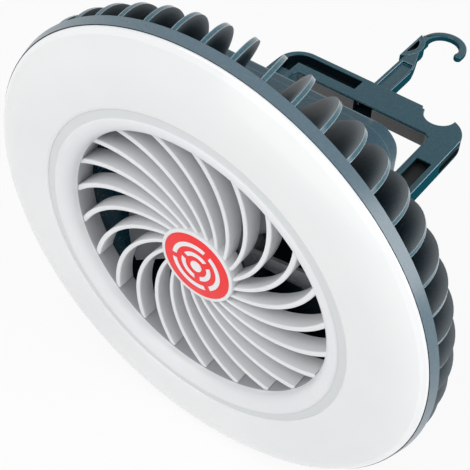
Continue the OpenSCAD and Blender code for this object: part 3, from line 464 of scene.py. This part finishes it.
def paint(obj, material, test):
    """Gives another material to the faces whose middle, as place_of() gives it, and normal pass the test."""
    obj.data.materials.append(MATS[material])
    for face in obj.data.polygons:
        if test(*place_of(face.center), face.normal):
            face.material_index = len(obj.data.materials) - 1


def lathe(name, profile, material, steps):
    """A closed profile of (radius, depth) in mm turned round the fan's axis."""
    bm = bmesh.new()
    rings = []
    for i in range(steps):
        a = 2 * math.pi * i / steps
        rings.append([bm.verts.new(at(r * math.cos(a), y, r * math.sin(a))) for r, y in profile])
    n = len(profile)
    for i in range(steps):
        a, b = rings[i], rings[(i + 1) % steps]
        for k in range(n):
            m = (k + 1) % n
            if max(profile[k][0], profile[m][0]) > 1e-9:    # a line along the axis sweeps no face
                bm.faces.new([a[k], a[m], b[m], b[k]])
    bmesh.ops.remove_doubles(bm, verts=bm.verts, dist=1e-8)
    bmesh.ops.dissolve_degenerate(bm, edges=bm.edges, dist=1e-9)
    return finish_mesh(name, bm, material)


def between(a, b, steps):
    """Numbers from a to b in equal steps."""
    return [a + (b - a) * i / steps for i in range(steps + 1)]


def arc(cx, cy, r, a0, a1, steps):
    """Points on an arc, from a0 to a1 degrees."""
    turns = [math.radians(a) for a in between(a0, a1, steps)]
    return [(cx + r * math.cos(a), cy + r * math.sin(a)) for a in turns]


def rounded_profile(points, radii, steps):
    """Rounds a closed profile's corners. radii gives each corner's radius in mm, 0 for a sharp one."""
    out = []
    n = len(points)
    for i, r in enumerate(radii):
        p, a, b = Vector(points[i]), Vector(points[i - 1]), Vector(points[(i + 1) % n])
        if r <= 0:
            out.append(tuple(p))
            continue
        u, v = (a - p).normalized(), (b - p).normalized()
        half = math.acos(max(-1.0, min(1.0, u.dot(v)))) / 2
        cut = min(r / math.tan(half), 0.48 * (a - p).length, 0.48 * (b - p).length)
        c = p + (u + v).normalized() * (cut * math.tan(half) / math.sin(half))
        s, e = p + u * cut - c, p + v * cut - c
        total = s.angle(e) * (1 if s.x * e.y - s.y * e.x > 0 else -1)
        for t in between(0.0, total, steps):
            cos, sin = math.cos(t), math.sin(t)
            out.append((c.x + s.x * cos - s.y * sin, c.y + s.x * sin + s.y * cos))
    return out


# ---------------------------------------------------------------- light ring


def dome(r, inset=0.0):
    """Depth of the lens's face at a radius: round outside the crest, and much flatter inside it."""
    curve = DOME_OUT if r > LENS_PEAK else DOME_IN
    return curve - LENS_RISE - math.sqrt((curve - inset) ** 2 - (r - LENS_PEAK) ** 2)


def lens_profile():
    """The lens in section: its inner wall and rolled edge, the dome, the polished bevel, the flat foot
    on the rim, and the face behind the dome."""
    top = dome(LENS_IN)
    points = [(LENS_IN + 0.02, -2.4), (LENS_IN + 0.02, top + 0.8)]
    points += arc(LENS_IN + 0.72, top + 0.72, 0.7, 180, 262, 6)
    points += [(r, dome(r)) for r in between(LENS_IN + 0.9, LENS_SEAM, 40)]
    points += [(97.5, dome(97.5) + 0.02), (97.75, -1.72), (98.9, -1.02), (99.2, -0.86), (99.45, -0.62),
               (99.62, -0.3), (99.66, -0.02)]
    points += [(95.9, -0.02), (95.9, dome(95.9, LENS_WALL))]
    points += [(r, min(-0.05, dome(r, LENS_WALL))) for r in between(95.5, LENS_IN + LENS_WALL, 16)]
    return points


lens = lathe("light_ring_lens", lens_profile(), "lens", 300)
paint(lens, "lens_bevel", lambda x, y, z, n: math.hypot(x, z) > BEVEL_R and y < 0)
stands_for(lens, "light_lens", "fan_body")

# ---------------------------------------------------------------- grille and badge


def lip_profile():
    """The grille's lip in section: the valley beside the lens, the round lip, the tube's wall and the
    flange under the lens."""
    points = [(70.84, -4.2), (70.6, -4.24), (67.9, -4.24), (67.5, -4.32), (67.2, -4.55), (66.9, -4.85),
              (66.6, -4.97)]
    (r, y), (wide, deep) = LIP_CENTRE, LIP_AXES
    turns = [math.radians(a) for a in range(270, 187, -3)]
    points += [(r + wide * math.cos(a), y + deep * math.sin(a)) for a in turns]
    points += [(60.12, 0.25), (OPEN_R, 0.6), (OPEN_R, 9.2), (60.3, 9.5), (60.9, 9.5), (61.2, 9.2)]
    points += [(61.2, 2.0), (64.4, 2.0), (64.4, -1.2), (76.2, -1.2), (76.2, -2.2), (70.84, -2.2)]
    return points


def vane_angle(r):
    """Where on its own circle a vane reaches the radius r from the fan's axis."""
    return math.asin((r * r - VANE_R ** 2 - VANE_C ** 2) / (2 * VANE_R * VANE_C))


def vane_row(t, spin, section):
    """The points of a vane's section at the angle t on its circle, turned round the fan's axis."""
    x, z = VANE_R * math.cos(t), VANE_C + VANE_R * math.sin(t)
    out = math.hypot(x, z) - HUB_R
    cos, sin = math.cos(spin), math.sin(spin)
    row = []
    for off, y in section:
        off *= 1 + VANE_SPREAD * out
        px, pz = x + math.cos(t) * off, z + math.sin(t) * off
        if y < VANE_Y + VANE_D / 2:
            y -= VANE_RISE * out
        row.append(at(px * cos - pz * sin, y, px * sin + pz * cos))
    return row


def vanes():
    """The swept vanes, each from inside the hub's wall to inside the tube's wall."""
    front, back = VANE_T / 2, VANE_T / 2 * VANE_TAPER
    section = rounded_profile([(-front, VANE_Y), (front, VANE_Y), (back, VANE_Y + VANE_D),
                               (-back, VANE_Y + VANE_D)], [0.55, 0.55, 0.35, 0.35], 5)
    n = len(section)
    bm = bmesh.new()
    for k in range(VANES):
        spin = math.radians(VANE_PHASE - 90 + 360 * k / VANES)
        rows = [[bm.verts.new(p) for p in vane_row(t, spin, section)]
                for t in between(vane_angle(HUB_R - 0.5), vane_angle(OPEN_R + 0.5), VANE_STEPS)]
        for a, b in zip(rows, rows[1:]):
            for j in range(n):
                bm.faces.new([a[j], a[(j + 1) % n], b[(j + 1) % n], b[j]])
        bm.faces.new(rows[0])
        bm.faces.new(list(reversed(rows[-1])))
    return finish_mesh("grille_vanes", bm, "grille", 40)


lip = lathe("grille_lip", lip_profile(), "grille", 300)
# painted shade: the valley beside the lens shown grey
paint(lip, "valley", lambda x, y, z, n: math.hypot(x, z) > VALLEY_R)
# painted shade: the tube's inner wall shown dark grey
paint(lip, "tube", lambda x, y, z, n: math.hypot(x, z) < TUBE_R and y > TUBE_Y)
hub_profile = rounded_profile([(0.0, 2.2), (15.45, 2.2), (15.45, 1.4), (HUB_R, 1.4), (HUB_R, 8.8),
                               (15.2, 8.8), (14.4, 4.2), (0.0, 4.2)], [0, 0, 0.12, 0.5, 0.3, 0.3, 0.4, 0], 4)
hub = lathe("grille_hub", hub_profile, "grille", 160)
for piece in (lip, hub, vanes()):
    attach(piece, "fan_body")
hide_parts("front_grille")

badge_profile = rounded_profile([(0.0, 1.4), (15.38, 1.42), (15.38, 2.19), (0.0, 2.19)],
                                [0, 0.22, 0.1, 0], 4)
badge = lathe("hub_disc", badge_profile, "badge", 160)
stands_for(badge, "hub_badge", "fan_body")
refined("hub_pattern", "badge_inlay", "fan_body", "inlay", 0.08)

# ---------------------------------------------------------------- shell


def shell_shade(x, y, z, n):
    """The walls round the impeller and the light ring's bed, painted black as shade."""
    r = math.hypot(x, z)
    near = r < MOTOR_R and y < MOTOR_Y and n.y < 0.5 and abs(x) < BOX_X and abs(z) < BOX_Z
    return near or (r < BAND_R and y < BED_Y)


def on_fin(x, y, z, n, rim):
    """Whether a face belongs to a fin, and there to its round edge (rim) or its flat side."""
    r = math.hypot(x, z)
    out, deep = r - FIN_AT[0], y - FIN_AT[1]
    if y < BAND_Y or r < FIN_FOOT or math.hypot(out, deep) > FIN_R * 1.03:
        return False
    outward = Vector((x / r * out, deep, z / r * out))
    edge = outward.length > 0.9 * FIN_R and n.dot(outward.normalized()) > 0.5
    return edge if rim else not edge and abs(n.y) < 0.35 and abs(n.x * x + n.z * z) < 0.6 * r


shell = refined("shell", "housing", "fan_body", "shell", 0.45, 3)
# painted shade: black on the walls round the impeller and in the lens's bed
paint(shell, "inside", shell_shade)
# painted light: the rim's band shown lighter blue-grey
paint(shell, "band", lambda x, y, z, n: math.hypot(x, z) > BAND_R and y < BAND_Y and n.y < 0.3)
# painted shade on the fins' flat faces
paint(shell, "fin", lambda x, y, z, n: on_fin(x, y, z, n, rim=False))
# painted highlight on the fins' round rims
paint(shell, "fin_rim_highlight", lambda x, y, z, n: on_fin(x, y, z, n, rim=True))
refined("back_cover", "rear_cover", "fan_body", "cover", 0.3)
refined("blades", "impeller", "rotor", "blade", 0.3)

# ---------------------------------------------------------------- carrying frame


def in_slot(x, y, z):
    """Whether a place is in the hook's slot in the grip bar."""
    return SLOT_X[0] < x < SLOT_X[1] and y > GRIP_NEAR + 0.3 and z < TOP_Z - 1.1


def frame_share(x, y, z):
    """Rounds edges in the top and bottom faces, others a little, and none in the slot."""
    if in_slot(x, y, z) and y < GRIP_FAR - 1:
        return 0.0
    if min(abs(z - TOP_Z), abs(z - TOP_Z + FRAME_T)) > 0.02 or y < FOOT_END:
        return 0.1
    return 0.5 if abs(x - WINDOW_X) < WINDOW_HALF and y < GRIP_NEAR + 1 else 1.0


def frame_shade(x, y, z, n):
    """The walls and floors of the grip bar's left pocket, of the hook's slot and of the right side's
    recess, painted black as shade."""
    inward = n.x * (x - POCKET_AT[0]) + n.y * (y - POCKET_AT[1]) < 0
    in_pocket = x < -2 and y > POCKET_FROM and POCKET_FLOOR < z < TOP_Z - 0.75 and (n.z > 0.5 or inward)
    slot_wall = in_slot(x, y, z) and y < GRIP_FAR - 0.5 and n.z > -0.9
    in_recess = ARM_X - 1.5 < x < ARM_X - 0.2 and y > RECESS_FROM and POCKET_FLOOR < z < TOP_Z - 1.6
    return in_pocket or slot_wall or in_recess


def frame_highlight_edge(x, y, z, n):
    """The rounded edge between the right arm's side and its top, given a painted highlight where it would
    catch the light.
    """
    return x > ARM_X - 0.65 and z > TOP_Z - 0.65 and y < GRIP_FAR - 12 and 0.3 < n.x < 0.95 and n.z > 0.3


def frame_channel(x, y, z, n):
    """The floor and walls of the channel in the right arm's top."""
    across, along = CHANNEL_X[0] < x < CHANNEL_X[1], CHANNEL_Y[0] < y < CHANNEL_Y[1]
    return across and along and TOP_Z - 3.1 < z < TOP_Z - 0.7


carry = refined("carry_frame", "frame", "carrying_frame", "carry", 0.6, 3, frame_share)
for v in carry.data.vertices:                   # the bridge's edge comes up close to the hook's end
    x, y, z = place_of(v.co)
    if SLOT_X[0] < x < SLOT_X[1] and BRIDGE_Y[0] < y < BRIDGE_Y[1] and z < BRIDGE_Z[1]:
        v.co.y = RIM_Y + BRIDGE_TO_Y * MM
        if z > BRIDGE_Z[0]:
            v.co.z = AXIS_Z + BRIDGE_TO_Z * MM
# painted shade: black in the left pocket, the hook's slot and the side recess
paint(carry, "inside", frame_shade)
# painted shade: the right arm's outer side, matte and darker
paint(carry, "side", lambda x, y, z, n: n.x > 0.9 and x > ARM_X - 0.1)
# painted highlight on the right arm's top outer edge
paint(carry, "crest", frame_highlight_edge)
# painted shade along the right arm's channel
paint(carry, "channel", frame_channel)
# painted reflection on the hand window's near inner face
paint(carry, "warm_reflection", lambda x, y, z, n: n.y < -0.9 and abs(y - GRIP_NEAR) < 0.3 and z < TOP_Z - 0.7)

# ---------------------------------------------------------------- hook


def hook_share(x, y, z):
    """Sharp in the slot, lightly rounded along the shank, and round in section round the bend."""
    if y < SLOT_END:
        return 0.0
    if abs(z - HOOK_MID_Z) < 1.5:
        return 0.03
    if y > EYE_END and x > 2:
        return 1.0
    return 0.35 if y < SHANK_END else 0.12 + 0.88 * max(0.0, min(1.0, (y - BEND_FROM) / 5))


def in_eye(x, y, z, n):
    """The walls of the hook's window."""
    return EYE_X[0] < x < EYE_X[1] and EYE_Y[0] < y < EYE_Y[1] and abs(n.z) < 0.5


hook = refined("fold_hook", "hook", "hook", "hook", 1.1, 4, hook_share)
# painted shade: the hook's sides and underside, matte and darker
paint(hook, "side", lambda x, y, z, n: n.z < 0.35)
# painted highlight on the shank's rounded top edges
paint(hook, "crest", lambda x, y, z, n: 0.35 < n.z < 0.93 and y < CREST_END and z > 1.5)
# painted shade: black on the walls of the hook's window and on its part in the slot
paint(hook, "inside", in_eye)
paint(hook, "inside", lambda x, y, z, n: y < SLOT_END - 1)

# ---------------------------------------------------------------- small pieces

refined("fan_switch", "fan_button", "fan_button", "button", 0.3)
refined("light_switch", "light_button", "light_button", "button", 0.3)
refined("box_screws", "cover_screws", "fan_body", "zinc", 0.15)
refined("hinge_pins", "pivot_pins", "fan_body", "steel", 0.3)
refined("hinge_washers", "friction_washers", "fan_body", "brass_wave", 0.1, 1)
refined("usb_shell", "charge_socket", "fan_body", "steel", 0.08)
refined("status_lights", "charge_lights", "fan_body", "light_pipe", 0.2)
refined("hook_axle", "hook_pin", "carrying_frame", "steel", 0.2)

# ---------------------------------------------------------------- camera, floor and light


def make_camera():
    """The camera that was fitted to the photo: its place in mm, and the directions up and forward."""
    data = bpy.data.cameras.new("camera")
    data.lens = 76.77
    data.sensor_width = 36.0
    data.clip_start = 0.01
    data.clip_end = 50.0
    cam = bpy.data.objects.new("camera", data)
    bpy.context.scene.collection.objects.link(cam)
    back = -Vector((-0.403, 0.551, -0.731)).normalized()
    right = Vector((-0.460, 0.569, 0.682)).cross(back).normalized()
    up = back.cross(right).normalized()
    turn = Matrix((right, up, back)).transposed()
    cam.matrix_world = Matrix.Translation(at(157.8, -190.4, 283.5)) @ turn.to_4x4()
    bpy.context.scene.camera = cam


def make_floor():
    """A pale floor just under the object, which shows nearly white and keeps the shadow."""
    bm = bmesh.new()
    bmesh.ops.create_grid(bm, x_segments=2, y_segments=2, size=6.0)
    mesh = bpy.data.meshes.new("floor")
    bm.to_mesh(mesh)
    bm.free()
    floor = bpy.data.objects.new("floor", mesh)
    floor.location = (0, 0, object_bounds()[0][2] - 0.5 * MM)
    bpy.context.scene.collection.objects.link(floor)
    g = Surface("pale_floor")
    g.set(Base_Color=g.mix(g.noise(3.0, detail=2.0), (0.86, 0.865, 0.87), (0.88, 0.88, 0.885)), Roughness=0.9)
    glow = g.node("ShaderNodeEmission", Color=(1, 1, 1, 1), Strength=1.0)
    g.shader_mix(g.math("MULTIPLY", g.background_rays(), 0.9), g.bsdf, glow)
    mesh.materials.append(g.mat)


def make_world():
    """Soft light from all round, and a white background where it is seen."""
    world = bpy.data.worlds.new("studio")
    bpy.context.scene.world = world
    world.use_nodes = True
    g = Graph(world.node_tree, "ShaderNodeOutputWorld")
    soft = g.node("ShaderNodeBackground", Color=(0.97, 0.985, 1.0, 1.0), Strength=0.42)
    white = g.node("ShaderNodeBackground", Color=(1, 1, 1, 1), Strength=1.0)
    g.shader_mix(g.background_rays(), soft, white)


def lamp(name, place, target, size, power):
    """A square studio lamp that faces the target."""
    data = bpy.data.lights.new(name, "AREA")
    data.shape = "SQUARE"
    data.size = size
    data.energy = power
    obj = bpy.data.objects.new(name, data)
    obj.location = place
    obj.rotation_euler = (target - place).to_track_quat("-Z", "Y").to_euler()
    bpy.context.scene.collection.objects.link(obj)


make_camera()
make_floor()
make_world()
lamp("key", at(-200, -500, 700), at(0, 20, 0), 0.6, 3.2)
lamp("side", at(700, 100, 250), at(0, 20, 0), 0.5, 2.5)
lamp("front", at(100, -800, 100), at(0, 0, 0), 0.8, 1.6)
bpy.context.scene.view_settings.view_transform = "Standard"
